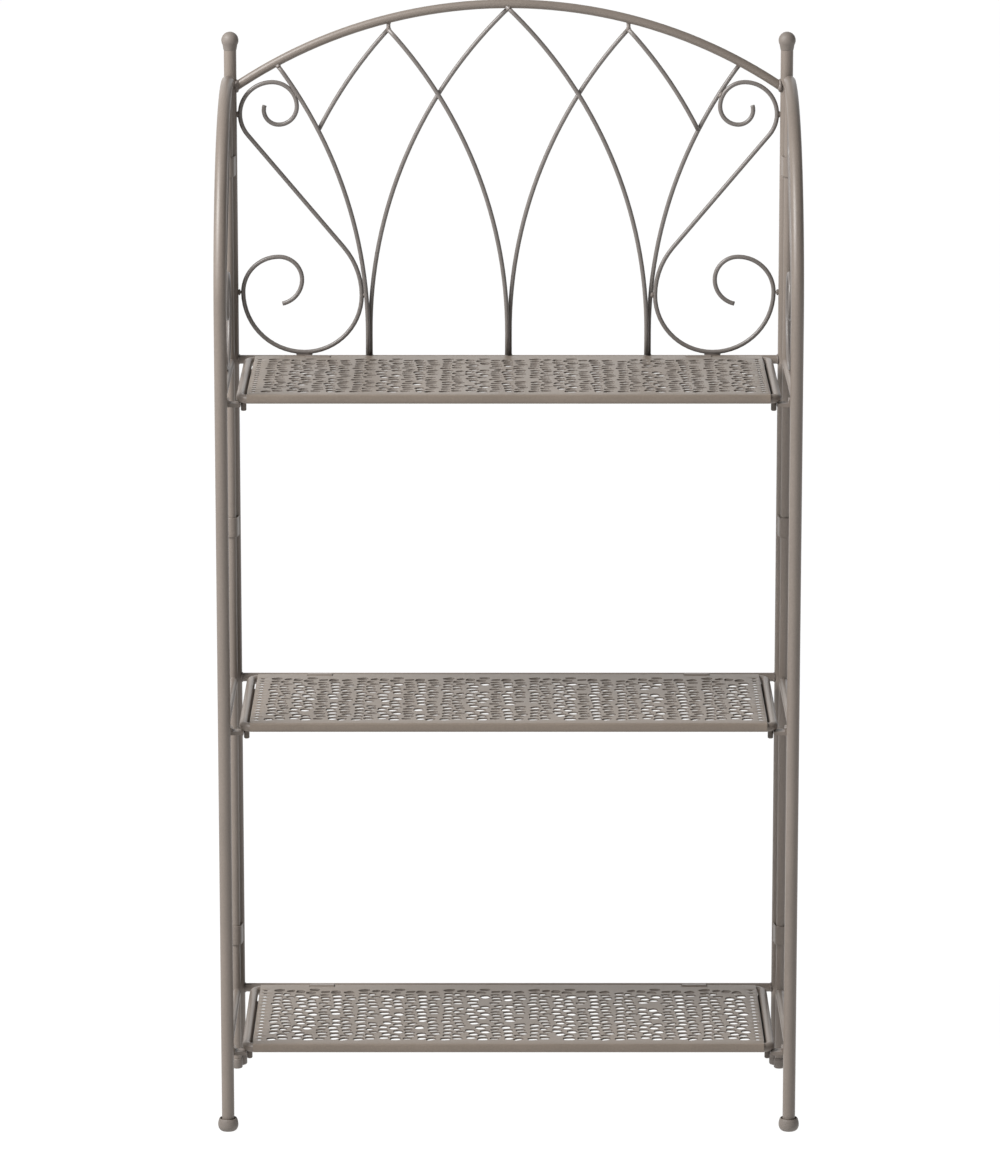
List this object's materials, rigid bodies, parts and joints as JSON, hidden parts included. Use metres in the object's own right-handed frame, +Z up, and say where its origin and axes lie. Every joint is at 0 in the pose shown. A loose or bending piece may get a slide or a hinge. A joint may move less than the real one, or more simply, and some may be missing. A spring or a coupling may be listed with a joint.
{
  "type": "folding etagere shelving unit",
  "caption": "Folding steel etagere with pierced shelves between bent side frames, under an arched back of crossing lancet wires and scrolls.",
  "frame": {"origin": "on the floor, below the middle of the unit's box", "axes": "+X to the right seen from the front, +Y from the front legs to the back frame, +Z up"},
  "size_m": [0.6498, 0.271, 1.2378],
  "materials": {
    "painted_steel": "satin",
    "pierced_sheet": "satin",
    "foot_cap": "matte"
  },
  "bodies": {
    "back_frame": {"left_post": "painted_steel", "right_post": "painted_steel", "left_finial": "painted_steel", "right_finial": "painted_steel", "left_post_foot": "foot_cap", "right_post_foot": "foot_cap", "crossbar_bottom": "painted_steel", "crossbar_middle": "painted_steel", "crossbar_top": "painted_steel", "top_arch": "painted_steel", "lancet_left_outer": "painted_steel", "lancet_left_inner": "painted_steel", "lancet_middle_left": "painted_steel", "lancet_middle_right": "painted_steel", "lancet_right_inner": "painted_steel", "lancet_right_outer": "painted_steel", "branch_left": "painted_steel", "branch_right": "painted_steel", "left_scroll": "painted_steel", "right_scroll": "painted_steel", "left_scroll_pins": "painted_steel", "right_scroll_pins": "painted_steel", "left_hinge_loops": "painted_steel", "right_hinge_loops": "painted_steel", "shelf_bottom_hinge_straps": "painted_steel", "shelf_middle_hinge_straps": "painted_steel", "shelf_top_hinge_straps": "painted_steel"},
    "left_side_frame": {"left_leg": "painted_steel", "left_upright": "painted_steel", "left_rail_bottom": "painted_steel", "left_rail_middle": "painted_steel", "left_rail_top": "painted_steel", "left_front_foot": "foot_cap", "left_upright_foot": "foot_cap", "left_side_scroll": "painted_steel", "left_side_scroll_pins": "painted_steel", "left_rest_lugs": "painted_steel"},
    "right_side_frame": {"right_leg": "painted_steel", "right_upright": "painted_steel", "right_rail_bottom": "painted_steel", "right_rail_middle": "painted_steel", "right_rail_top": "painted_steel", "right_front_foot": "foot_cap", "right_upright_foot": "foot_cap", "right_side_scroll": "painted_steel", "right_side_scroll_pins": "painted_steel", "right_rest_lugs": "painted_steel"},
    "bottom_shelf": {"shelf_bottom_frame": "painted_steel", "shelf_bottom_sheet": "pierced_sheet", "shelf_bottom_pegs": "painted_steel"},
    "middle_shelf": {"shelf_middle_frame": "painted_steel", "shelf_middle_sheet": "pierced_sheet", "shelf_middle_pegs": "painted_steel"},
    "top_shelf": {"shelf_top_frame": "painted_steel", "shelf_top_sheet": "pierced_sheet", "shelf_top_pegs": "painted_steel"}
  },
  "joints": [
    {"name": "bottom_shelf_fold", "type": "hinge", "parent": "back_frame", "child": "bottom_shelf", "pos_m": [0, 0.1144, 0.092], "axis": [-1, 0, 0], "range_deg": [0, 90]},
    {"name": "middle_shelf_fold", "type": "hinge", "parent": "back_frame", "child": "middle_shelf", "pos_m": [0, 0.1144, 0.461], "axis": [-1, 0, 0], "range_deg": [0, 90]},
    {"name": "top_shelf_fold", "type": "hinge", "parent": "back_frame", "child": "top_shelf", "pos_m": [0, 0.1144, 0.83], "axis": [-1, 0, 0], "range_deg": [0, 90]},
    {"name": "left_side_swing", "type": "hinge", "parent": "back_frame", "child": "left_side_frame", "pos_m": [-0.3135, 0.1104, 0], "axis": [0, 0, -1], "range_deg": [0, 90]},
    {"name": "right_side_swing", "type": "hinge", "parent": "back_frame", "child": "right_side_frame", "pos_m": [0.3135, 0.1104, 0], "axis": [0, 0, 1], "range_deg": [0, 90]}
  ]
}
